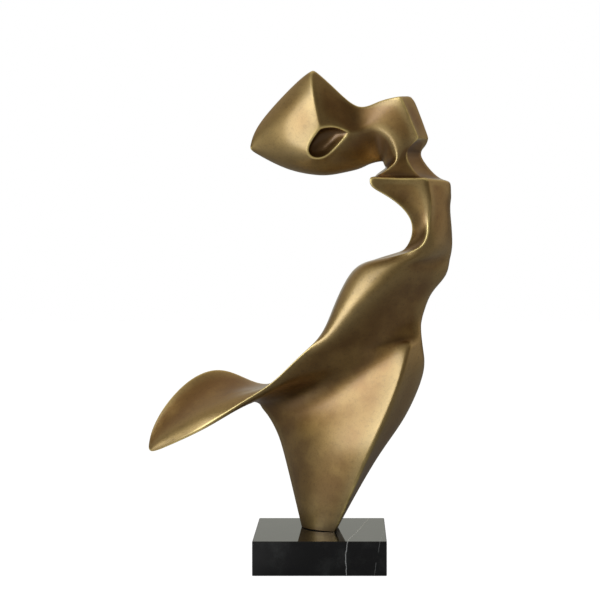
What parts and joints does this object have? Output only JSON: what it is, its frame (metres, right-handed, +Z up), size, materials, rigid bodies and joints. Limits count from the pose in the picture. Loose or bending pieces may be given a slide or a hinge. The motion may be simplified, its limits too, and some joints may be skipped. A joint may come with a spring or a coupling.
{
  "type": "abstract resin sculpture",
  "caption": "Abstract twisting figure in bronze-finish resin, with a winged skirt, on a black marble block.",
  "frame": {"origin": "centre of the plinth's underside", "axes": "+Z up; -Y towards the viewer of the front; +X to that viewer's right, so the wing points to -X"},
  "size_m": [0.3781, 0.125, 0.6137],
  "materials": {
    "bronze_finish": "cast resin with a rubbed antique bronze finish, satin",
    "black_marble": "polished black marble with fine white veins"
  },
  "bodies": {
    "root": {"figure": "bronze_finish", "plinth": "black_marble"}
  },
  "joints": []
}
